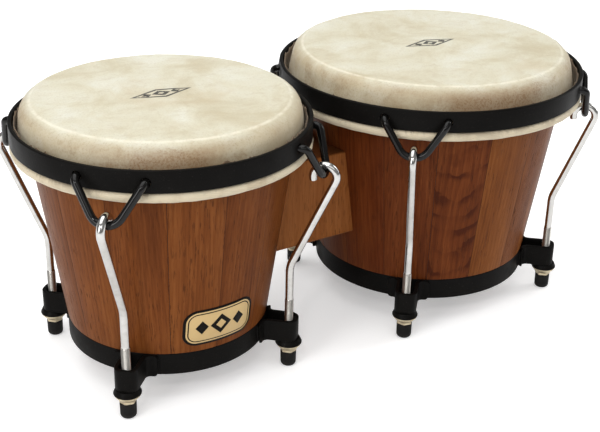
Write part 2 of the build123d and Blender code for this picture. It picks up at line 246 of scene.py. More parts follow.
def ringPoints(radius, sides, phase=0.0):
    return [(radius * cos(2 * pi * k / sides + phase), radius * sin(2 * pi * k / sides + phase)) for k in range(sides)]


def lugPoint(drum, corner):
    turn = drum["lugs"][corner]
    return drum["x"] + drum["lugCircle"] * cos(turn), drum["lugCircle"] * sin(turn)


def turned(drum, turn, along, across, height):
    # a point given along an angle from the drum's axis, across it, and up
    return Vector((drum["x"] + along * cos(turn) - across * sin(turn),
                   along * sin(turn) + across * cos(turn), height))


def applyModifiers(piece):
    depsgraph = bpy.context.evaluated_depsgraph_get()
    mesh = bpy.data.meshes.new_from_object(piece.evaluated_get(depsgraph))
    old = piece.data
    piece.modifiers.clear()
    piece.data = mesh
    bpy.data.meshes.remove(old)


class Field:
    # a node socket that can stand in a formula
    def __init__(self, tree, socket):
        self.tree, self.socket = tree, socket

    def math(self, operation, *others):
        node = addNode(self.tree, "ShaderNodeMath", operation=operation)
        for socket, value in zip(node.inputs, (self, *others)):
            feed(socket, value)
        return Field(self.tree, node.outputs[0])

    def __add__(self, other):
        return self.math("ADD", other)

    def __sub__(self, other):
        return self.math("SUBTRACT", other)

    def __mul__(self, other):
        return self.math("MULTIPLY", other)

    def __truediv__(self, other):
        return self.math("DIVIDE", other)

    def __abs__(self):
        return self.math("ABSOLUTE")

    __radd__, __rmul__ = __add__, __mul__


def addNode(tree, kind, **settings):
    node = tree.nodes.new(kind)
    for key, value in settings.items():
        setattr(node, key, value)
    return node


def feed(socket, value):
    if isinstance(value, Field):
        value.tree.links.new(value.socket, socket)
    else:
        socket.default_value = value


def setInputs(node, values):
    for key, value in values.items():
        feed(node.inputs[key], value)


def vectorMath(operation, a, b):
    node = addNode(a.tree, "ShaderNodeVectorMath", operation=operation)
    setInputs(node, {0: a, "Scale" if operation == "SCALE" else 1: b})
    return Field(a.tree, node.outputs["Value" if operation == "DISTANCE" else "Vector"])


def split(vector):
    node = addNode(vector.tree, "ShaderNodeSeparateXYZ")
    feed(node.inputs[0], vector)
    return [Field(vector.tree, socket) for socket in node.outputs]


def noiseOf(place, scale, detail=3.0, rough=0.5, distortion=0.0):
    # scale is one number, or three that stretch the pattern
    if isinstance(scale, tuple):
        place, scale = vectorMath("MULTIPLY", place, scale), 1.0
    node = addNode(place.tree, "ShaderNodeTexNoise")
    setInputs(node, {"Vector": place, "Scale": scale, "Detail": detail, "Roughness": rough, "Distortion": distortion})
    return Field(place.tree, node.outputs["Fac"])


def fade(value, low, high, start=0.0, end=1.0):
    # a smooth step from start to end as value goes from low to high
    node = addNode(value.tree, "ShaderNodeMapRange", interpolation_type="SMOOTHSTEP")
    for socket, given in zip(node.inputs, (value, low, high, start, end)):
        feed(socket, given)
    return Field(value.tree, node.outputs[0])


def blend(share, a, b):
    node = addNode(share.tree, "ShaderNodeMix", data_type="RGBA")
    for index, value in ((0, share), (6, a), (7, b)):
        feed(node.inputs[index], (*value, 1) if isinstance(value, tuple) else value)
    return Field(share.tree, node.outputs[2])


def colourRamp(value, stops):
    node = addNode(value.tree, "ShaderNodeValToRGB")
    elements = node.color_ramp.elements
    while len(elements) < len(stops):
        elements.new(0.5)
    for element, (at, colour) in zip(elements, stops):
        element.position = at
        element.color = (*colour, 1)
    feed(node.inputs[0], value)
    return Field(value.tree, node.outputs[0])


def attribute(tree, name, output="Fac"):
    return Field(tree, addNode(tree, "ShaderNodeAttribute", attribute_name=name).outputs[output])


def objectPlace(tree):
    return Field(tree, addNode(tree, "ShaderNodeTexCoord").outputs["Object"])


def newMaterial(name):
    material = bpy.data.materials.new(name)
    material.use_nodes = True
    tree = material.node_tree
    tree.nodes.clear()
    shader = tree.nodes.new("ShaderNodeBsdfPrincipled")
    tree.links.new(shader.outputs[0], tree.nodes.new("ShaderNodeOutputMaterial").inputs[0])
    return material, tree, shader


def addBump(shader, height, distance):
    node = addNode(height.tree, "ShaderNodeBump")
    setInputs(node, {"Strength": 1.0, "Distance": distance, "Height": height})
    feed(shader.inputs["Normal"], Field(height.tree, node.outputs[0]))


def newGroup(name, inputs, outputs):
    group = bpy.data.node_groups.new(name, "ShaderNodeTree")
    for key, kind in inputs.items():
        group.interface.new_socket(name=key, in_out="INPUT", socket_type="NodeSocket" + kind)
    for key in outputs:
        group.interface.new_socket(name=key, in_out="OUTPUT", socket_type="NodeSocketFloat")
    source = group.nodes.new("NodeGroupInput")
    given = {key: Field(group, source.outputs[key]) for key in inputs}
    return group, given, group.nodes.new("NodeGroupOutput")


def placeGroup(tree, group, **values):
    node = addNode(tree, "ShaderNodeGroup", node_tree=group)
    setInputs(node, values)
    return {socket.name: Field(tree, socket) for socket in node.outputs}


grainShape = {"sway": 0.012, "swell": 0.007, "curlBend": 24.0, "curlWander": 0.044,
              "curlSpacing": 0.0155, "curlDepth": 0.27,
              "fibreScale": (760, 760, 38), "streakScale": (170, 170, 8), "broadScale": (38, 38, 8),
              "poreScale": (1350, 1350, 120)}


def makeWoodGrain():
    # growth rings cut by the board's face, fibres, pores and curl; Place is across, depth and height in metres
    group, given, sink = newGroup(
        "woodGrain", {"Place": "Vector", "Pith": "Vector", "Spacing": "Float", "Curl": "Float", "Seed": "Float"},
        ("Tone", "Pores", "Relief"))
    offset = addNode(group, "ShaderNodeCombineXYZ")
    for socket, share in zip(offset.inputs, (0.37, 0.53, 0.71)):
        feed(socket, given["Seed"] * share)
    own = vectorMath("ADD", given["Place"], Field(group, offset.outputs[0]))
    across, depth, height = split(given["Place"])
    pithAcross, pithDepth, pithLean = split(given["Pith"])
    shape = grainShape

    # growth rings
    sway = (noiseOf(own, (9, 9, 7), 2.0) - 0.5) * shape["sway"]
    swell = (noiseOf(own, (60, 60, 9)) - 0.5) * shape["swell"]
    aside = across - pithAcross + sway
    inward = depth + pithDepth + height * pithLean
    reach = (aside * aside + inward * inward).math("SQRT")
    rings = ((reach + swell) / given["Spacing"]).math("FRACT")
    late = fade(rings, 0.25, 0.9) * fade(rings, 0.93, 1.0, 1.0, 0.0)

    # fibres and broad changes of tone
    fibre = noiseOf(own, shape["fibreScale"], 4.0, 0.62, 0.25)
    streak = noiseOf(own, shape["streakScale"], 3.0, 0.55, 0.3)
    broad = noiseOf(own, shape["broadScale"], 3.0, 0.5, 0.4)
    tone = late * -0.05 + streak * 0.22 + fibre * 0.40 + broad * 0.46

    # curl: uneven smiling lines up a figured board
    wander = (noiseOf(own, (24, 24, 24), 4.0, 0.56) - 0.5) * shape["curlWander"]
    level = height + across * across * -shape["curlBend"] + wander
    waves = (level / shape["curlSpacing"]).math("FRACT")
    curl = fade(waves, 0.45, 0.90) * fade(waves, 0.91, 1.0, 1.0, 0.0)
    patchy = fade(noiseOf(own, (48, 48, 30)), 0.38, 0.60, 0.10, 1.0)
    tone = tone - curl * patchy * given["Curl"] * shape["curlDepth"]

    dense = fade(noiseOf(own, (90, 90, 12), 2.0), 0.35, 0.65, 0.35, 1.0)
    pores = fade(noiseOf(own, shape["poreScale"], 2.0), 0.57, 0.68) * dense
    setInputs(sink, {"Tone": tone, "Pores": pores, "Relief": fibre * 0.5 - pores * 0.6})
    return group


def makeFineWear():
    # rubbed patches, hairline scratches and specks, as handled metal picks up
    group, given, sink = newGroup("fineWear", {"Scale": "Float", "Amount": "Float"}, ("Rub", "Scratch", "Speck"))
    place = vectorMath("SCALE", objectPlace(group), given["Scale"])
    rub = fade(noiseOf(place, 40.0, 4.0, 0.6), 0.42, 0.72)
    scratch = fade(noiseOf(place, (900, 900, 60), 2.0), 0.66, 0.74) * rub
    speck = fade(noiseOf(place, 1300.0, 1.0), 0.70, 0.78)
    marks = {"Rub": rub, "Scratch": scratch, "Speck": speck}
    setInputs(sink, {key: mark * given["Amount"] for key, mark in marks.items()})
    return group


woodGrain = makeWoodGrain()
fineWear = makeFineWear()


def woodMaterial(name, look):
    material, tree, shader = newMaterial(name)
    place = attribute(tree, "grainPlace", "Vector")
    grain = placeGroup(tree, woodGrain, Place=place, Pith=attribute(tree, "grainPith", "Vector"),
                       Spacing=attribute(tree, "grainRings"), Curl=attribute(tree, "grainCurl"),
                       Seed=attribute(tree, "grainSeed"))
    pale, dark = (colourRamp(grain["Tone"], look[key]) for key in ("paleStops", "darkStops"))
    # share between the pale and dark ramps for each stave: partly the wood's tone, partly painted shade and sheen
    colour = blend(attribute(tree, "grainTintAndShade"), pale, dark)
    colour = blend(grain["Pores"] * look["poreDepth"], colour, look["poreColour"])
    seam = fade(attribute(tree, "seamGap"), look["seamWidth"], 0.0) * look["seamDepth"]
    colour = blend(seam, colour, look["seamAndShadeColour"])
    if "topShade" in look:  # painted shade: the block's upper face, in shadow under the rims, is darkened
        top = look["topShade"]
        colour = blend(fade(split(place)[2], top - 1.2 * mm, top - 0.2 * mm, 0.0, 0.72), colour, look["seamAndShadeColour"])
    smear = (noiseOf(objectPlace(tree), 28.0) - 0.5) * 0.22
    setInputs(shader, {"Base Color": colour, "Roughness": look["roughness"] + smear + grain["Pores"] * 0.2,
                       "Specular IOR Level": look["specular"]})
    addBump(shader, grain["Relief"], look["relief"])
    return material


shellWoodLook = {
    "roughness": 0.36, "relief": 0.00010, "specular": 0.06, "poreDepth": 0.62, "poreColour": (0.040, 0.012, 0.004),
    "seamWidth": 0.4 * mm, "seamDepth": 0.8, "seamAndShadeColour": (0.045, 0.013, 0.005),
    "paleStops": [(0.32, (0.104, 0.029, 0.0060)), (0.50, (0.176, 0.055, 0.0120)), (0.68, (0.262, 0.092, 0.0230))],
    "darkStops": [(0.32, (0.052, 0.010, 0.0030)), (0.50, (0.103, 0.023, 0.0054)), (0.68, (0.162, 0.042, 0.0105))],
}
# paler ramps for the block, and painted shade on its upper face
blockWoodLook = dict(
    shellWoodLook, topShade=boxOf("centre_block")[1].z,
    paleStops=[(0.32, (0.160, 0.048, 0.0105)), (0.50, (0.240, 0.078, 0.0185)), (0.68, (0.310, 0.112, 0.0300))])
shellWood = woodMaterial("shellWood", shellWoodLook)
blockWood = woodMaterial("blockWood", blockWoodLook)


def blackSteelMaterial(name, look):
    material, tree, shader = newMaterial(name)
    wear = placeGroup(tree, fineWear, Scale=look["wearScale"], Amount=look["wear"])
    place = objectPlace(tree)
    tone = blend(noiseOf(place, 55.0), look["dark"], look["light"])
    tone = blend(wear["Speck"] * 0.5, tone, look["dust"])
    rough = look["roughness"] + wear["Rub"] * look["rubRoughness"] + wear["Scratch"] * 0.15
    setInputs(shader, {"Base Color": tone, "Roughness": rough, "Specular IOR Level": look["specular"],
                       "Coat Weight": look["coat"], "Coat Roughness": look["coatRoughness"]})
    addBump(shader, noiseOf(place, look["peelScale"], 2.0) - wear["Scratch"] * 0.4, look["peel"])
    return material


blackSteel = blackSteelMaterial("blackSteel", {
    "dark": (0.0035, 0.0032, 0.0030), "light": (0.0075, 0.0068, 0.0060), "dust": (0.05, 0.045, 0.04),
    "roughness": 0.34, "rubRoughness": 0.16, "specular": 0.05, "coat": 0.0, "coatRoughness": 0.3,
    "wearScale": 1.0, "wear": 1.0, "peelScale": 900.0, "peel": 0.00008})
blackBar = blackSteelMaterial("blackBar", {
    "dark": (0.0030, 0.0028, 0.0026), "light": (0.0055, 0.0050, 0.0046), "dust": (0.05, 0.045, 0.04),
    "roughness": 0.24, "rubRoughness": 0.12, "specular": 0.02, "coat": 0.55, "coatRoughness": 0.04,
    "wearScale": 1.6, "wear": 0.8, "peelScale": 700.0, "peel": 0.00005})


def platedMaterial(name, look):
    material, tree, shader = newMaterial(name)
    wear = placeGroup(tree, fineWear, Scale=look["wearScale"], Amount=look["wear"])
    cloud = noiseOf(objectPlace(tree), look["cloudScale"], 4.0, 0.6)
    tone = blend(fade(cloud, 0.35, 0.7), look["bright"], look["dull"])
    tone = blend(wear["Speck"] * look["speckDepth"], tone, look["speck"])
    rough = look["roughness"] + wear["Rub"] * look["rubRoughness"]
    if "threadColour" in look:
        threads = attribute(tree, "threadShare")
        tone = blend(threads, tone, look["threadColour"])
        rough = rough + threads * look["threadRoughness"]
    setInputs(shader, {"Base Color": tone, "Roughness": rough, "Metallic": 1.0})
    addBump(shader, cloud - wear["Scratch"], look["relief"])
    return material


chromeRod = platedMaterial("chromeRod", {
    "bright": (0.68, 0.67, 0.65), "dull": (0.58, 0.57, 0.54), "speck": (0.30, 0.26, 0.22), "speckDepth": 0.35,
    "roughness": 0.12, "rubRoughness": 0.12, "wearScale": 1.2, "wear": 0.7, "cloudScale": 160.0, "relief": 0.00003,
    "threadColour": (0.56, 0.54, 0.50), "threadRoughness": 0.22})
zincSteel = platedMaterial("zincSteel", {
    "bright": (0.80, 0.70, 0.50), "dull": (0.60, 0.50, 0.34), "speck": (0.20, 0.14, 0.08), "speckDepth": 0.5,
    "roughness": 0.34, "rubRoughness": 0.2, "wearScale": 2.0, "wear": 1.0, "cloudScale": 300.0, "relief": 0.00006})

rubberLook = {"black": (0.006, 0.0055, 0.005), "dust": (0.05, 0.046, 0.042), "speck": (0.10, 0.09, 0.08),
              "dustHeight": 5 * mm, "roughness": 0.55, "specular": 0.2, "relief": 0.00010}


def rubberMaterial(look):
    material, tree, shader = newMaterial("footRubber")
    place = objectPlace(tree)
    wear = placeGroup(tree, fineWear, Scale=2.0, Amount=1.0)
    dust = fade(split(place)[2], look["dustHeight"], 0.0) * noiseOf(place, 320.0)
    tone = blend(dust * 0.5, look["black"], look["dust"])
    tone = blend(wear["Speck"] * 0.4, tone, look["speck"])
    setInputs(shader, {"Base Color": tone, "Roughness": look["roughness"] + wear["Rub"] * 0.25,
                       "Specular IOR Level": look["specular"]})
    addBump(shader, noiseOf(place, 1400.0, 2.0), look["relief"])
    return material


footRubber = rubberMaterial(rubberLook)

# each stamp is its place from the drum's axis, along and across, and its turn
stampLook = {"macho": (-0.0002, 0.0004, 0.0), "hembra": (0.0006, 0.002, -0.05),
             "halfLength": 21.8 * mm, "halfWidth": 8.0 * mm, "depth": 0.94, "ink": (0.014, 0.012, 0.010)}


def stampMask(place, drum):
    # a long lozenge outline round three small lozenges
    along, across, turn = stampLook[drum["name"]]
    mapping = addNode(place.tree, "ShaderNodeMapping", vector_type="TEXTURE")
    setInputs(mapping, {"Vector": place, "Location": (drum["x"] + along, across, 0), "Rotation": (0, 0, turn)})
    x, y, _ = split(Field(place.tree, mapping.outputs[0]))
    length, width = stampLook["halfLength"], stampLook["halfWidth"]

    def lozenge(middle, longShare, wideShare):
        away = abs(x - middle * length) / (length * longShare) + abs(y) / (width * wideShare)
        return fade(away, 1.03, 0.97)

    mask = lozenge(0, 1, 1) - lozenge(0, 0.82, 0.73)
    mask = mask.math("MAXIMUM", lozenge(0, 0.30, 0.60) - lozenge(0, 0.11, 0.20))
    for middle in (-0.46, 0.46):
        mask = mask.math("MAXIMUM", lozenge(middle, 0.16, 0.34))
    return mask


# a patch is its angle round the drum in degrees and its reach
hideLook = {
    "groundStops": [(0.34, (0.525, 0.465, 0.320)), (0.50, (0.615, 0.580, 0.445)), (0.66, (0.665, 0.650, 0.545))],
    "tan": (0.520, 0.415, 0.260), "vein": (0.50, 0.43, 0.30), "grain": (0.38, 0.31, 0.20),
    "grime": (0.230, 0.135, 0.065), "skirt": (0.365, 0.275, 0.160), "creaseHighlight": (0.80, 0.76, 0.63),
    "roll": (0.600, 0.520, 0.375), "rollStain": (0.380, 0.280, 0.165),
    "tuckEdgeAndShade": (0.095, 0.054, 0.026), "hair": (0.300, 0.220, 0.140),
    "patch": {"macho": (245, 0.052), "hembra": (256, 0.062)}, "patchDepth": 0.92, "patchColour": (0.235, 0.132, 0.058),
    "seed": {"macho": 0.0, "hembra": 0.7}, "roughness": 0.46, "relief": 0.00030,
}


def hideMaterial(drum):
    look = hideLook
    material, tree, shader = newMaterial(drum["name"] + "Hide")
    place = objectPlace(tree)
    seed = look["seed"][drum["name"]]
    own = vectorMath("ADD", place, (seed, seed * 0.4, 0))
    # 0 on the flat, 1 at the foot of the skirt, 2 past the roll, 3 at the trimmed edge
    zone = attribute(tree, "hideZone")
    shoulder = fade(zone, 0.16, 0.62)

    # the flat: clouds, tan patches, veins and fine grain
    cloud = noiseOf(own, 24.0, 6.0, 0.66, 0.5)
    tanned = fade(noiseOf(vectorMath("ADD", own, (0.31, 0.12, 0)), 17.0, 5.0, 0.62, 0.9), 0.53, 0.70)
    veins = fade(noiseOf(own, (95.0, 152.0, 95.0), 7.0, 0.72, 0.8), 0.50, 0.70)
    grain = fade(noiseOf(own, 900.0, 3.0, 0.7), 0.50, 0.68)
    colour = colourRamp(cloud, look["groundStops"])
    colour = blend(tanned * 0.30, colour, look["tan"])
    colour = blend(veins * 0.46, colour, look["vein"])
    colour = blend(grain * (0.36 + shoulder * 0.30), colour, look["grain"])

    # the shoulder: speckled grime, a darker skirt and the brown patch that hands leave on the near side
    blotch = fade(noiseOf(own, 26.0, 6.0, 0.72, 0.8), 0.44, 0.62)
    speckle = fade(noiseOf(own, 780.0, 4.0, 0.7), 0.42, 0.64)
    grime = blotch * shoulder * (0.35 + speckle * 0.65)
    colour = blend(grime * 0.75, colour, look["grime"])
    colour = blend(shoulder * fade(noiseOf(own, 34.0), 0.30, 0.66, 0.34, 0.66), colour, look["skirt"])
    turn, size = look["patch"][drum["name"]]
    reach = drum["rimRadius"] * 0.93
    middle = (drum["x"] + reach * cos(radians(turn)), reach * sin(radians(turn)), drum["rimHigh"])
    away = vectorMath("DISTANCE", place, middle) + (noiseOf(own, 70.0, 5.0, 0.65) - 0.5) * 0.06
    patch = fade(away, size, size * 0.25) * fade(zone, 0.28, 0.86) * (0.66 + speckle * 0.34)
    colour = blend(patch * look["patchDepth"], colour, look["patchColour"])
    broken = fade(noiseOf(own, 150.0), 0.36, 0.58, 0.35, 1.0)
    # painted highlight: a broken pale line along the shoulder, where light catches the hide as it bends over the
    # bearing edge
    creaseHighlight = fade(zone, 0.09, 0.16) * fade(zone, 0.27, 0.18) * broken
    colour = blend(creaseHighlight * 0.5, colour, look["creaseHighlight"])

    # the roll round the hoop, the tuck darkening to its trimmed edge (partly the cut edge's own brown, partly painted
    # shade in the gap inside the rim), and stray hairs
    stain = fade(noiseOf(own, (70.0, 70.0, 42.0), 4.0, 0.6), 0.50, 0.72)
    colour = blend(fade(zone, 1.0, 1.5), colour, blend(stain * 0.35, look["roll"], look["rollStain"]))
    # painted shade: the tuck inside the rim darkens towards its trimmed edge, partly the cut edge's own brown
    colour = blend(fade(zone + blotch * 0.5, 1.9, 2.8) * 0.9, colour, look["tuckEdgeAndShade"])
    hairs = fade(noiseOf(own, (900.0, 225.0, 900.0), 2.0), 0.66, 0.74)
    colour = blend(hairs * 0.22, colour, look["hair"])

    worn = fade(noiseOf(place, 700.0, 3.0, 0.6), 0.74, 0.56)
    ink = stampMask(place, drum) * worn * fade(zone, 0.05, 0.01)
    colour = blend(ink * stampLook["depth"], colour, stampLook["ink"])
    setInputs(shader, {"Base Color": colour, "Roughness": look["roughness"] + cloud * 0.22 + grime * 0.15,
                       "Specular IOR Level": 0.35, "Sheen Weight": 0.08, "Subsurface Weight": 0.05,
                       "Subsurface Radius": (1.0, 0.6, 0.35), "Subsurface Scale": 1.2 * mm})
    addBump(shader, noiseOf(own, 1500.0, 3.0, 0.6) * 0.35 + noiseOf(own, 120.0) * 0.65, look["relief"])
    return material


def enamelMaterial(name, look):
    material, tree, shader = newMaterial(name)
    wear = placeGroup(tree, fineWear, Scale=1.4, Amount=1.0)
    setInputs(shader, {"Base Color": blend(wear["Rub"] * 0.5, look["colour"], look["rubbed"]),
                       "Roughness": look["roughness"] + wear["Rub"] * 0.15, "Specular IOR Level": look["specular"],
                       "Coat Weight": look["coat"], "Coat Roughness": 0.12})
    addBump(shader, wear["Scratch"], 0.00004)
    return material


creamEnamel = enamelMaterial("creamEnamel", {
    "colour": (0.60, 0.42, 0.185), "rubbed": (0.52, 0.35, 0.14), "roughness": 0.3, "specular": 0.3, "coat": 0.15})
darkEnamel = enamelMaterial("darkEnamel", {
    "colour": (0.006, 0.005, 0.004), "rubbed": (0.014, 0.012, 0.010), "roughness": 0.28,
    "specular": 0.05, "coat": 0.04})
print("materials made")


def dress(piece, material, body, slotName, *replaced):
    piece.data.materials.clear()
    piece.data.materials.append(material)
    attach(piece, body)
    if replaced:
        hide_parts(*replaced)
    return piece


def markWood(rows):
    # one row for each point: what woodMaterial reads there
    names = ("grainPlace", "grainPith", "grainSeed", "grainTintAndShade", "seamGap", "grainRings", "grainCurl")
    kinds = ("FLOAT_VECTOR", "FLOAT_VECTOR", *["FLOAT"] * 5)
    return {name: (kind, values) for name, kind, values in zip(names, kinds, zip(*rows))}


def makeShell(drum):
    # glued staves, each its own closed board with eased edges
    count = shellShape["staves"][drum["name"]]
    picker = random.Random(11 if drum["name"] == "macho" else 23)
    low = outerRadius(drum, drum["ringHigh"])
    top = outerRadius(drum, drum["shellTop"])
    rebate = shellShape["rebate"]
    wall = shellShape["wall"]
    inner = outerRadius(drum, drum["ringLow"]) - wall
    outline = roundCorners(
        [(inner, drum["ringLow"]), (low - rebate, drum["ringLow"]), (low - rebate, drum["ringHigh"]),
         (low, drum["ringHigh"]), (top, drum["shellTop"]), (top - wall, drum["shellTop"])],
        [0, 0, 0, 0.3 * mm, shellShape["bearingRound"], shellShape["innerRound"]], steps=8)
    outline = densePath([*outline, outline[0]], 9 * mm)[:-1]
    size = len(outline)
    across = 14
    verts, faces, marks = [], [], []
    step = 2 * pi / count
    tintsAndShade = shellShape["tintsAndShade"][drum["name"]]
    for stave in range(count):
        start = len(verts)
        own = (picker.choice((-1, 1)) * picker.uniform(0.04, 0.10),
               picker.uniform(0.02, 0.05), picker.uniform(-0.05, 0.05))
        spacing = picker.uniform(0.0028, 0.0046)
        seed = stave * 1.7 + (0 if drum["name"] == "macho" else 60)
        figured = 1.0 if stave in shellShape["figured"][drum["name"]] else 0.0
        for i in range(across + 1):
            share = 2 * i / across - 1
            drop = 0 if abs(share) < 1 else shellShape["ease"]
            for radius, height in outline:
                half = step / 2 - shellShape["seam"] / 2 / radius
                turn = stave * step + share * half
                shrink = radius - drop if radius > inner + wall / 2 else radius + drop
                verts.append((drum["x"] + shrink * cos(turn), shrink * sin(turn), height))
                place = (share * half * radius, radius - outerRadius(drum, height), height)
                marks.append((place, own, seed, tintsAndShade[stave], (1 - abs(share)) * half * radius, spacing, figured))
        for i in range(across):
            faces += joinRings(start + i * size, start + (i + 1) * size, size)
        end = start + across * size
        faces += [tuple(range(start, start + size)), tuple(range(end, end + size))[::-1]]
    shell = makePiece(drum["name"] + "Staves", verts, faces, 30, markWood(marks))
    return dress(shell, shellWood, drum["body"], "shell_wood", drum["name"] + "_shell")


ringShape = {"thickness": 2.5 * mm, "edge": 0.6 * mm}
strapShape = {"thickness": 2.8 * mm, "width": 15.6 * mm, "nose": 6.3 * mm, "foot": 8 * mm,
              "corner": 4.8 * mm, "edge": 0.55 * mm}
washerShape = {"hole": 3.25 * mm, "recess": 7.4 * mm, "lip": 1.0 * mm, "skirt": 9.0 * mm,
               "crown": 7.6 * mm, "edge": 0.9 * mm}


def makeBottomRing(drum):
    outside = drum["footRadius"]
    inside = outside - ringShape["thickness"]
    edge = ringShape["edge"]
    outline = roundCorners(bandOutline(inside, outside, drum["ringLow"], drum["ringHigh"]),
                           [0.2 * mm, edge, edge, 0.2 * mm], steps=4)
    ring = revolve(drum["name"] + "BottomRing", (drum["x"], 0), outline)
    return dress(ring, blackSteel, drum["body"], "black_steel", drum["name"] + "_bottom_ring")


def weldBead(drum, turn, corner):
    # a lumpy run of weld down a strap's end, on the bottom ring
    low, high = drum["ringLow"] + 1.5 * mm, drum["ringHigh"] - 1.5 * mm
    radius = drum["footRadius"] + 0.15 * mm
    path = [turned(drum, turn, radius, 0, low + (high - low) * k / 24) for k in range(25)]
    start = Vector((turn * 7, len(corner), drum["footRadius"] * 90))

    def sectionAt(i, distance):
        lump = 1 + 0.28 * noise.noise(start + Vector((0, 0, distance * 900))) + 0.10 * sin(distance * 3800)
        size = 0.95 * mm * lump * min(1, 0.45 + min(i, 24 - i) / 3)
        return ringPoints(size, 12)

    return sweepSection("bead", path, sectionAt, smoothAngle=60)


def makeLugStraps(drum):
    outside = drum["footRadius"]
    thickness = strapShape["thickness"]
    line = outside + thickness / 2 - 0.1 * mm
    half = (strapShape["width"] - thickness) / 2
    nose = drum["lugCircle"] + strapShape["nose"] - thickness / 2
    root = sqrt(line**2 - half**2)
    spread = (half + strapShape["foot"]) / line
    height = drum["ringHigh"] - drum["ringLow"]
    middle = (drum["ringHigh"] + drum["ringLow"]) / 2
    section = bandOutline(-thickness / 2, thickness / 2, -height / 2, height / 2)
    section = roundCorners(section, strapShape["edge"], steps=3)
    straps = []
    for corner in cornerNames:
        turn = drum["lugs"][corner]
        flat = [(line * cos(spread), -line * sin(spread)), (root, -half), (nose, -half), (nose, half),
                (root, half), (line * cos(spread), line * sin(spread))]
        path = roundCorners([turned(drum, turn, a, b, middle) for a, b in flat],
                            strapShape["corner"], closed=False, steps=9)
        path = densePath(path, 1.2 * mm)
        total = sum((b - a).length for a, b in zip(path, path[1:]))

        def sectionAt(i, distance, total=total):
            near = min(distance, total - distance) / (4.5 * mm)
            thin = 0.42 + 0.58 * min(1, near)
            tall = 0.76 + 0.24 * sqrt(1 - (1 - min(1, min(distance, total - distance) / (2.8 * mm)))**2)
            return [(a * thin - (1 - thin) * thickness / 2, b * tall) for a, b in section]

        straps.append(sweepSection("strap", path, sectionAt, side=(0, 0, 1)))
        for side in (-1, 1):
            straps.append(weldBead(drum, turn + side * spread, corner))
    piece = joinPieces(drum["name"] + "LugStraps", straps)
    return dress(piece, blackSteel, drum["body"], "black_steel", drum["name"] + "_lug_straps")


def makeCupWashers(drum):
    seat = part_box(drum["name"] + "_nut_front_left")[1].z
    top = drum["ringLow"] - 0.05 * mm
    shape = washerShape
    lip = seat - shape["lip"]
    outline = roundCorners(
        [(shape["hole"], seat), (shape["recess"], seat), (shape["recess"], lip), (shape["skirt"], lip),
         (shape["skirt"], lip + shape["edge"]), (shape["crown"], top), (shape["hole"], top)],
        [0, 0.2 * mm, 0.15 * mm, 0.3 * mm, 0.3 * mm, 0.6 * mm, 0.3 * mm], steps=4)
    washers = [revolve("washer", lugPoint(drum, corner), outline, 64) for corner in cornerNames]
    piece = joinPieces(drum["name"] + "CupWashers", washers)
    return dress(piece, blackSteel, drum["body"], "black_steel", drum["name"] + "_cup_washers")


nutShape = {"hexWidth": 10 * mm, "flange": 7.1 * mm, "disc": 8.5 * mm, "discEdge": 0.75 * mm,
            "coneLow": 12.6 * mm, "barrel": 3.9 * mm, "bore": 3.0 * mm, "chamfer": 0.5 * mm}
footShape = {"radius": 5.4 * mm, "round": 2.4 * mm, "floor": 3.2 * mm}


def makeNut(drum, corner):
    # a flanged hexagon: at each height the wider of the hexagon and the cone
    node = f"{drum['name']}_nut_{corner}"
    low, high = boxOf(node)
    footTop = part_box(f"{drum['name']}_foot_{corner}")[1].z
    centre = lugPoint(drum, corner)
    shape = nutShape
    discTop = high.z - washerShape["lip"] - 0.08 * mm  # just under the cup washer's lip
    discLow = discTop - shape["discEdge"]
    heights = [footTop, footTop + shape["chamfer"], footTop + 1.2 * mm]
    heights += [shape["coneLow"] + k * (discLow - shape["coneLow"]) / 8 for k in range(9)]
    count = 72
    verts, faces = [], []
    for i in range(count):
        turn = 2 * pi * i / count + drum["lugs"][corner]
        bend = (2 * pi * i / count) % (pi / 3) - pi / 6
        hexagon = shape["hexWidth"] / 2 / cos(bend)
        ring = [(shape["bore"], low.z), (shape["barrel"], low.z), (shape["barrel"], footTop)]
        for height in heights:
            share = (height - shape["coneLow"]) / (discLow - shape["coneLow"])
            cone = shape["hexWidth"] / 2 + (shape["disc"] - shape["hexWidth"] / 2) * max(0, share) ** 0.8
            side = min(hexagon, shape["hexWidth"] / 2 + 0.45 * mm + (height - footTop) * 1.2)
            ring.append((max(side, cone), height))
        ring += [(shape["disc"], discTop - 0.15 * mm), (shape["disc"] - 0.2 * mm, discTop), (shape["flange"], discTop),
                 (shape["flange"], high.z - 0.2 * mm), (shape["flange"] - 0.25 * mm, high.z),
                 (shape["bore"] + 0.3 * mm, high.z), (shape["bore"], high.z - 0.3 * mm)]
        verts += [(centre[0] + r * cos(turn), centre[1] + r * sin(turn), z) for r, z in ring]
    size = len(ring)
    for i in range(count):
        faces += joinRings(i * size, (i + 1) % count * size, size)
    nut = makePiece(f"{drum['name']}Nut_{corner}", verts, faces, 25)
    return dress(nut, zincSteel, f"{drum['name']}_nut_{corner}_set", "zinc_steel", node)


def makeFoot(drum, corner):
    node = f"{drum['name']}_foot_{corner}"
    low, high = boxOf(node)
    radius = footShape["radius"]
    barrel = nutShape["barrel"]
    outline = roundCorners(
        [(0, low.z), (radius - 0.25 * mm, low.z), (radius - 0.1 * mm, low.z + 3 * mm), (radius, high.z - 2 * mm),
         (radius, high.z), (barrel, high.z), (barrel, footShape["floor"]), (0, footShape["floor"])],
        [0, footShape["round"], 2 * mm, 2 * mm, 0.35 * mm, 0.2 * mm, 0, 0], steps=5)
    foot = revolve(f"{drum['name']}Foot_{corner}", lugPoint(drum, corner), outline, 64)
    return dress(foot, footRubber, f"{drum['name']}_nut_{corner}_set", "black_rubber", node)


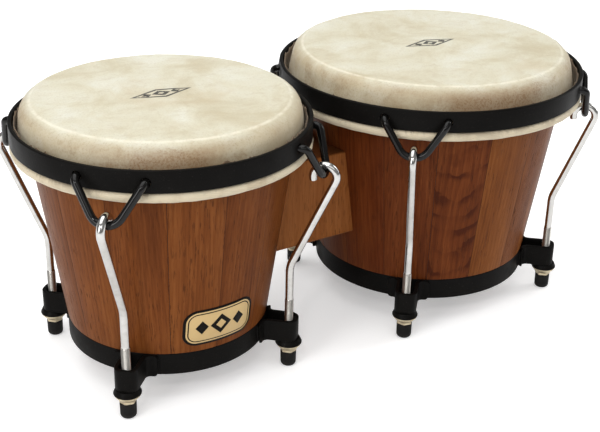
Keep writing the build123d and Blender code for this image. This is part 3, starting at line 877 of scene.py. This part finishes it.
def makeRod(drum, corner):
    # a hooked bar with a rolled thread at its foot
    shape = rodShape
    across = drum["hookCircle"] - drum["lugCircle"]
    rise = drum["hookHeight"] - shape["kneeHeight"]
    slope = atan2(across, rise) + asin(shape["hookRound"] / hypot(across, rise))
    turn = drum["lugs"][corner]
    flat = [(drum["lugCircle"], drum["rodEnd"]), (drum["lugCircle"], shape["kneeHeight"]),
            (drum["hookCircle"] + shape["hookRound"] * cos(slope),
             drum["hookHeight"] - shape["hookRound"] * sin(slope))]
    flat = roundCorners(flat, shape["kneeRound"], closed=False, steps=14)
    sweepAngle = slope + radians(shape["tipAngle"])
    for k in range(1, 41):
        at = -slope + sweepAngle * k / 40
        flat.append((drum["hookCircle"] + shape["hookRound"] * cos(at),
                     drum["hookHeight"] + shape["hookRound"] * sin(at)))
    tip = radians(shape["tipAngle"])
    flat.append((flat[-1][0] - shape["tipLength"] * sin(tip), flat[-1][1] + shape["tipLength"] * cos(tip)))
    path = [turned(drum, turn, a, 0, b) for a, b in flat]
    threadLength = shape["threadTop"] - drum["rodEnd"]
    stepLength = shape["threadPitch"] / 9
    count = int(threadLength / stepLength)
    threaded = [path[0] + Vector((0, 0, stepLength * k)) for k in range(count + 1)]
    plain = densePath([threaded[-1] + Vector((0, 0, 0.4 * mm)), *path[1:]], 1.6 * mm)
    whole = threaded + plain
    total = sum((b - a).length for a, b in zip(whole, whole[1:]))
    sides = shape["sides"]
    share = []

    def sectionAt(i, distance):
        points = []
        fadeOut = min(1, max(0, (threadLength - distance) / (1.5 * mm)))
        start = min(1, (distance + 0.15 * mm) / (0.9 * mm))
        end = min(1, (total - distance + 0.25 * mm) / (0.6 * mm))
        for k in range(sides):
            at = 2 * pi * k / sides
            wave = (distance / shape["threadPitch"] - k / sides) % 1
            ridge = 1 - abs(2 * wave - 1)
            ridge = min(1, max(0, ridge * 1.35 - 0.12))
            threadRadius = shape["threadRadius"] - shape["threadDepth"] * (1 - ridge)
            radius = shape["radius"] + (threadRadius - shape["radius"]) * fadeOut
            radius *= 0.78 + 0.22 * min(start, 1)
            radius *= 0.86 + 0.14 * max(0, min(end, 1))
            points.append((radius * cos(at), radius * sin(at)))
            share.append(fadeOut)
        return points

    rod = sweepSection(f"{drum['name']}Rod_{corner}", whole, sectionAt, smoothAngle=50)
    layer = rod.data.attributes.new("threadShare", "FLOAT", "POINT")
    layer.data.foreach_set("value", np.asarray(share[:len(rod.data.vertices)], np.float32))
    return dress(rod, chromeRod, drum["rimBody"], "chrome_rod", f"{drum['name']}_rod_{corner}")


rimShape = {"thickness": 2.6 * mm, "edge": 0.7 * mm, "holeEase": 0.55 * mm}


def makeRim(drum):
    outside = drum["rimRadius"]
    inside = outside - rimShape["thickness"]
    outline = roundCorners(bandOutline(inside, outside, drum["rimLow"], drum["rimHigh"]), rimShape["edge"], steps=5)
    rim = revolve(drum["name"] + "Rim", (drum["x"], 0), outline, 240)
    middle = (drum["rimLow"] + drum["rimHigh"]) / 2
    cutters = []
    for corner in cornerNames:
        for side in (-1, 1):
            turn = drum["lugs"][corner]
            start = turned(drum, turn, inside * 0.86, side * clawShape["halfSpread"], middle)
            end = turned(drum, turn, outside * 1.06, side * clawShape["halfSpread"], middle)
            ring = ringPoints(clawShape["radius"] + rimShape["holeEase"], 24)
            cutters.append(sweepSection("cutter", [start, end], lambda i, s, ring=ring: ring))
    cutter = joinPieces("cutter", cutters)
    cut = rim.modifiers.new("holes", "BOOLEAN")
    cut.operation = "DIFFERENCE"
    cut.solver = "EXACT"
    cut.object = cutter
    bpy.context.view_layer.update()
    applyModifiers(rim)
    bpy.data.objects.remove(cutter)
    rim.data.set_sharp_from_angle(angle=radians(38))
    return dress(rim, blackSteel, drum["rimBody"], "black_steel", drum["name"] + "_rim")


def clawCornerDepth(length):
    # where a loop's two legs would meet, down the loop's slope
    roundShare = clawShape["bottomRound"]**2
    spreadShare = clawShape["halfSpread"]**2
    reach = length - clawShape["bottomRound"]
    a = spreadShare - roundShare
    b = -2 * spreadShare * reach
    c = spreadShare * (reach**2 - roundShare)
    return (-b + sqrt(b * b - 4 * a * c)) / (2 * a)


def makeClawLoops(drum):
    shape = clawShape
    legRadius = drum["rimRadius"] + 1.8 * mm + shape["radius"]
    top = sqrt(legRadius**2 - shape["halfSpread"]**2)
    inside = sqrt((drum["rimRadius"] - rimShape["thickness"])**2 - shape["halfSpread"]**2)
    middle = (drum["rimLow"] + drum["rimHigh"]) / 2
    run = drum["hookCircle"] - top
    drop = middle - drum["barHeight"]
    share = clawCornerDepth(hypot(run, drop)) / hypot(run, drop)
    loops = []
    for corner in cornerNames:
        turn = drum["lugs"][corner]
        flat = [(inside - 0.1 * mm, shape["halfSpread"], middle), (top, shape["halfSpread"], middle),
                (top + share * run, 0, middle - share * drop),
                (top, -shape["halfSpread"], middle), (inside - 0.1 * mm, -shape["halfSpread"], middle)]
        rounds = [0, shape["shoulderRound"], shape["bottomRound"], shape["shoulderRound"], 0]
        path = roundCorners([turned(drum, turn, *p) for p in flat], rounds, closed=False, steps=16)
        path = densePath(path, 1.2 * mm)
        last = len(path) - 1

        def sectionAt(i, distance, last=last):
            size = shape["radius"] * (0.82 if i in (0, last) else 1)
            return ringPoints(size, 28)

        loops.append(sweepSection("loop", path, sectionAt))
    piece = joinPieces(drum["name"] + "ClawLoops", loops)
    return dress(piece, blackBar, drum["rimBody"], "black_bar", drum["name"] + "_claw_loops")


def makeHide(drum):
    # the hide's own line, from the middle of the head over the shoulder, down, round the hoop and up inside the rim
    half = hideShape["thickness"] / 2
    bendHeight = drum["shellTop"] - shellShape["bearingRound"]
    bendRadius = outerRadius(drum, bendHeight) - shellShape["bearingRound"] * sqrt(1 + drum["lean"]**2)
    over = shellShape["bearingRound"] + hideShape["gap"] + half
    lap = hideShape["wire"] + half + 0.02 * mm
    across = drum["hoopRadius"] - bendRadius
    drop = drum["hoopHeight"] - bendHeight
    tilt = atan2(drop, across) + acos((over + lap) / hypot(across, drop))
    line = [(bendRadius * k / 44, bendHeight + over, 0.0) for k in range(45)]
    for k in range(1, 17):
        at = pi / 2 + (tilt - pi / 2) * k / 16
        line.append((bendRadius + over * cos(at), bendHeight + over * sin(at), 0.8 * k / 16))
    foot = (drum["hoopRadius"] - lap * cos(tilt), drum["hoopHeight"] - lap * sin(tilt))
    start = line[-1]
    for k in range(1, 13):
        line.append((start[0] + (foot[0] - start[0]) * k / 12,
                     start[1] + (foot[1] - start[1]) * k / 12, 0.8 + 0.2 * k / 12))
    lapTurn = radians(hideShape["lapTurn"])
    for k in range(1, 23):
        at = pi + tilt + lapTurn * k / 22
        line.append((drum["hoopRadius"] + lap * cos(at), drum["hoopHeight"] + lap * sin(at), 1.0 + k / 22))
    tuckRadius = drum["rimRadius"] - rimShape["thickness"] - hideShape["tuckGap"] - half
    lastPoint = line[-1]
    tuckTop = drum["rimHigh"] - hideShape["tuckDrop"]
    for k in range(1, 11):
        t = k / 10
        line.append((lastPoint[0] + (tuckRadius - lastPoint[0]) * min(1, t * 3),
                     lastPoint[1] + (tuckTop - lastPoint[1]) * t, 2.0 + t))
    size = len(line)
    normals = []
    for k in range(size):
        a, b = line[max(k - 1, 0)], line[min(k + 1, size - 1)]
        way = Vector((b[0] - a[0], b[1] - a[1])).normalized()
        normals.append((-way.y, way.x))
    count = hideShape["around"]
    seed = Vector((3.1, 7.7, 1.3)) if drum["name"] == "macho" else Vector((9.4, 2.2, 5.9))
    verts, faces, zones = [], [], []
    for i in range(count):
        turn = 2 * pi * i / count
        around = Vector((cos(turn), sin(turn), 0))
        ragged = sum(noise.noise(around * scale + seed) * reach for scale, reach in hideShape["ragged"].items())
        for face in (1, -1):
            order = range(size) if face == 1 else range(size - 1, -1, -1)
            for k in order:
                radius, height, zone = line[k]
                spot = around * radius * 40 + seed + Vector((0, 0, height * 40))
                wave = 0.0
                if zone < 0.9:
                    wave = noise.noise(spot * 0.9) * hideShape["ripple"] * min(1, radius / (20 * mm))
                if 0.05 < zone <= 1.0:
                    pleat = noise.noise(Vector((around.x * 14, around.y * 14, height * 9)) + seed)
                    wave += pleat * hideShape["pleat"] * min(1, zone * 1.6)
                if zone > 1.0:
                    wave += noise.noise(spot * 3.2) * hideShape["ripple"]
                if zone >= 2.0:
                    rise = (k - (size - 11)) / 10
                    height += max(0, rise) * ragged
                    wave += noise.noise(spot * 2.0) * 0.25 * mm
                thick = half * (1 + 0.25 * noise.noise(spot * 2.4)) * (0.55 if k == size - 1 else 1)
                shift = wave + face * (thick if zone < 2 else thick * 0.85)
                r = max(0.0, radius + normals[k][0] * shift) if k else 0.0
                verts.append((drum["x"] + r * cos(turn), r * sin(turn), height + normals[k][1] * shift))
                zones.append(zone)
    ring = 2 * size
    for i in range(count):
        j = (i + 1) % count
        for k in range(ring - 1):
            a, b, c, d = i * ring + k, j * ring + k, j * ring + k + 1, i * ring + k + 1
            if k == 0:
                faces.append((a, c, d))
            elif k == ring - 2:
                faces.append((a, b, d))
            else:
                faces.append((a, b, c, d))
    hide = makePiece(drum["name"] + "Hide", verts, faces, 60, {"hideZone": ("FLOAT", zones)})
    return dress(hide, hideMaterial(drum), drum["body"], "rawhide", drum["name"] + "_hide")


blockShape = {"edge": 2 * mm, "pith": (-0.02, 0.06, 0.05)}


def makeBlock():
    # a block with eased long edges and ends hollowed to the two shells
    low, high = boxOf("centre_block")
    left, right = drums["macho"], drums["hembra"]
    outline = roundCorners(bandOutline(low.y, high.y, low.z, high.z), blockShape["edge"], steps=5)
    outline = densePath([*outline, outline[0]], 3 * mm)[:-1]
    size = len(outline)
    steps = 16
    verts, faces = [], []
    for i in range(steps + 1):
        for y, z in outline:
            a = left["x"] + sqrt((outerRadius(left, z) + 0.1 * mm)**2 - y * y)
            b = right["x"] - sqrt((outerRadius(right, z) + 0.1 * mm)**2 - y * y)
            x = a + (b - a) * i / steps
            verts.append((x, y, z))
    for i in range(steps):
        faces += joinRings(i * size, (i + 1) * size, size)
    faces += [tuple(range(size)), tuple(range(steps * size, (steps + 1) * size))[::-1]]
    marks = markWood([(place, blockShape["pith"], 31.0, 0.12, 1.0, 0.004, 0.0) for place in verts])
    block = makePiece("centreBlock", verts, faces, 30, marks)
    return dress(block, blockWood, "frame", "block_wood", "centre_block")


badgeShape = {"width": 50 * mm, "corner": 9 * mm, "border": 1.6 * mm, "creamLine": 1.1 * mm, "darkLine": 0.8 * mm}


def makeBadge():
    # a bent plate: dark border, cream field and a row of lozenges
    drum = drums["macho"]
    low, high = boxOf("shell_badge")
    height = high.z - low.z
    middle = (high.z + low.z) / 2
    turn = atan2((low.y + high.y) / 2, (low.x + high.x) / 2 - drum["x"])

    def plate(name, outline, base, thickness):
        verts, faces = [], []
        inner = [(x * 0.985, y * 0.985) for x, y in outline]
        for scale, lift in ((outline, base), (outline, base + thickness * 0.6), (inner, base + thickness)):
            for x, y in scale:
                radius = outerRadius(drum, middle + y) + lift
                side = asin(x / radius)
                verts.append((drum["x"] + radius * cos(turn + side), radius * sin(turn + side), middle + y))
        size = len(outline)
        faces += joinRings(0, size, size) + joinRings(size, 2 * size, size)
        rows = size // 2
        for level in (0, 2):
            start = level * size
            for k in range(rows - 1):
                quad = [start + k, start + k + 1, start + size - 2 - k, start + size - 1 - k]
                faces.append(quad if len(set(quad)) == 4 else quad[:3])
        return makePiece(name, verts, faces, 40)

    def roundedOutline(halfWidth, halfHeight, corner):
        # starts at the middle of the left side, so that opposite points pair up above and below
        upper = [(-halfWidth, 0), (-halfWidth, halfHeight), (halfWidth, halfHeight), (halfWidth, 0)]
        upper = [tuple(p) for p in densePath(roundCorners(upper, corner, closed=False, steps=10), 2 * mm)]
        lower = [(x, -y) for x, y in upper[::-1]]
        return upper + lower

    def lozengeOutline(middleX, halfWidth, halfHeight):
        upper = [(-halfWidth, 0.02 * mm), (-halfWidth / 2, halfHeight / 2), (0, halfHeight),
                 (halfWidth / 2, halfHeight / 2), (halfWidth, 0.02 * mm)]
        upper = [(middleX + x, y) for x, y in upper]
        return upper + [(x, -y) for x, y in upper[::-1]]

    def inset(step):
        return roundedOutline(half - step, tall - step, badgeShape["corner"] - step)

    half, tall = badgeShape["width"] / 2, height / 2
    border = badgeShape["border"]
    line = border + badgeShape["creamLine"]
    inside = line + badgeShape["darkLine"]
    plates = [plate("badgeBorder", inset(0), 0.05 * mm, 0.35 * mm),
              plate("badgeLine", inset(line), 0.3 * mm, 0.24 * mm)]
    field = plate("badgeField", inset(inside), 0.4 * mm, 0.22 * mm)
    band = plate("badgeBand", inset(border), 0.2 * mm, 0.26 * mm)
    motifs = [lozengeOutline(0, 7.5 * mm, 7.5 * mm)]
    motifs += [lozengeOutline(side * 13.2 * mm, 4.3 * mm, 5.0 * mm) for side in (-1, 1)]
    marks = [plate("motif", outline, 0.5 * mm, 0.22 * mm) for outline in motifs]
    centre = plate("badgeCentre", lozengeOutline(0, 3.6 * mm, 3.6 * mm), 0.6 * mm, 0.2 * mm)
    eye = plate("badgeEye", lozengeOutline(0, 1.4 * mm, 1.4 * mm), 0.6 * mm, 0.26 * mm)
    centre = joinPieces("badgeCentre", [centre, eye])
    dark = joinPieces("badgeBorder", plates + marks)
    dress(dark, darkEnamel, "frame", "badge_plate", "shell_badge")
    dress(joinPieces("badgeField", [field, band, centre]), creamEnamel, "frame", "badge_plate")


for drum in drums.values():
    makeShell(drum)
    makeBottomRing(drum)
    makeLugStraps(drum)
    makeCupWashers(drum)
    makeRim(drum)
    makeClawLoops(drum)
    makeHide(drum)
    for corner in cornerNames:
        makeNut(drum, corner)
        makeFoot(drum, corner)
        makeRod(drum, corner)
    print(drum["name"], "made")
makeBlock()
makeBadge()
for name in drumNames:
    for part in ("_flesh_hoop", "_block_screws", "_screw_washers"):
        materials = nodes[name + part].data.materials
        materials.clear()
        materials.append(zincSteel)

stageLook = {"floorColour": (0.93, 0.93, 0.93), "shadowLift": 0.35, "worldLight": 0.56, "worldInShine": 0.45}
# each lamp's place, size and power
softboxes = {"top": ((-0.15, 0.15, 1.35), (1.7, 1.3), 12.5), "left": ((-1.45, -0.55, 0.75), (0.5, 1.1), 8.0),
             "right": ((1.35, -0.25, 0.75), (0.5, 1.1), 6.0), "front": ((-0.5, -1.6, 1.2), (1.2, 0.8), 3.0),
             "glint": ((-0.75, -0.85, 1.0), (0.12, 0.12), 1.6)}


def makeFloor():
    floor = makePiece("floor", [(-6, -6, 0), (6, -6, 0), (6, 6, 0), (-6, 6, 0)], [(0, 1, 2, 3)])
    material, tree, shader = newMaterial("floorPaper")
    seen = Field(tree, addNode(tree, "ShaderNodeLightPath").outputs["Is Camera Ray"])
    paper = blend(noiseOf(objectPlace(tree), 6.0), stageLook["floorColour"], (0.95, 0.95, 0.95))
    setInputs(shader, {"Base Color": paper, "Roughness": 0.9, "Specular IOR Level": 0.1,
                       "Emission Color": blend(seen, (0, 0, 0), (1, 1, 1)),
                       "Emission Strength": stageLook["shadowLift"]})
    floor.data.materials.append(material)


def addSoftbox(name, place, size, power):
    lamp = bpy.data.lights.new(name, "AREA")
    lamp.shape = "RECTANGLE"
    lamp.size, lamp.size_y = size
    lamp.energy = power
    box = bpy.data.objects.new(name, lamp)
    box.location = place
    box.rotation_euler = (Vector((0, 0, 0.1)) - Vector(place)).to_track_quat("-Z", "Y").to_euler()
    bpy.context.scene.collection.objects.link(box)


def makeWorld():
    world = bpy.data.worlds.new("studio")
    bpy.context.scene.world = world
    world.use_nodes = True
    tree = world.node_tree
    tree.nodes.clear()
    path = addNode(tree, "ShaderNodeLightPath")
    height = split(Field(tree, addNode(tree, "ShaderNodeTexCoord").outputs["Generated"]))[2]
    sky, plain = (addNode(tree, "ShaderNodeBackground") for _ in range(2))
    stops = [(0.45, (0.75, 0.75, 0.75)), (0.62, (0.95, 0.95, 0.95)), (0.9, (1, 1, 1))]
    # shiny surfaces see dimmer surroundings, as between the soft boxes of a studio
    light = stageLook["worldLight"]
    dimmed = Field(tree, path.outputs["Is Glossy Ray"]) * (light * (stageLook["worldInShine"] - 1))
    setInputs(sky, {0: colourRamp(height * 0.5 + 0.5, stops), 1: dimmed + light})
    setInputs(plain, {0: (1, 1, 1, 1), 1: 1.0})
    mix = addNode(tree, "ShaderNodeMixShader")
    output = addNode(tree, "ShaderNodeOutputWorld")
    for socket, given in ((mix.inputs[0], path.outputs["Is Camera Ray"]), (mix.inputs[1], sky.outputs[0]),
                          (mix.inputs[2], plain.outputs[0]), (output.inputs[0], mix.outputs[0])):
        tree.links.new(given, socket)


cameraView = {"fromDrum": (-0.3156, -0.6410, 0.4369), "yaw": -0.582, "pitch": 0.44, "roll": 0.021, "lens": 71.3}


def makeCamera():
    camera = bpy.data.cameras.new("camera")
    camera.lens = cameraView["lens"]
    camera.sensor_width = 36
    camera.clip_start = 0.01
    holder = bpy.data.objects.new("camera", camera)
    bpy.context.scene.collection.objects.link(holder)
    x, y, z = cameraView["fromDrum"]
    turn = Matrix.Rotation(cameraView["yaw"], 4, "Z") @ Matrix.Rotation(pi / 2 - cameraView["pitch"], 4, "X")
    turn = turn @ Matrix.Rotation(cameraView["roll"], 4, "Z")
    holder.matrix_world = Matrix.Translation((drums["macho"]["x"] + x, y, z)) @ turn
    bpy.context.scene.camera = holder


makeFloor()
makeWorld()
for name, (place, size, power) in softboxes.items():
    addSoftbox(name, place, size, power)
makeCamera()
scene = bpy.context.scene
scene.view_settings.view_transform = "Standard"
scene.view_settings.look = "None"
print("stage set")
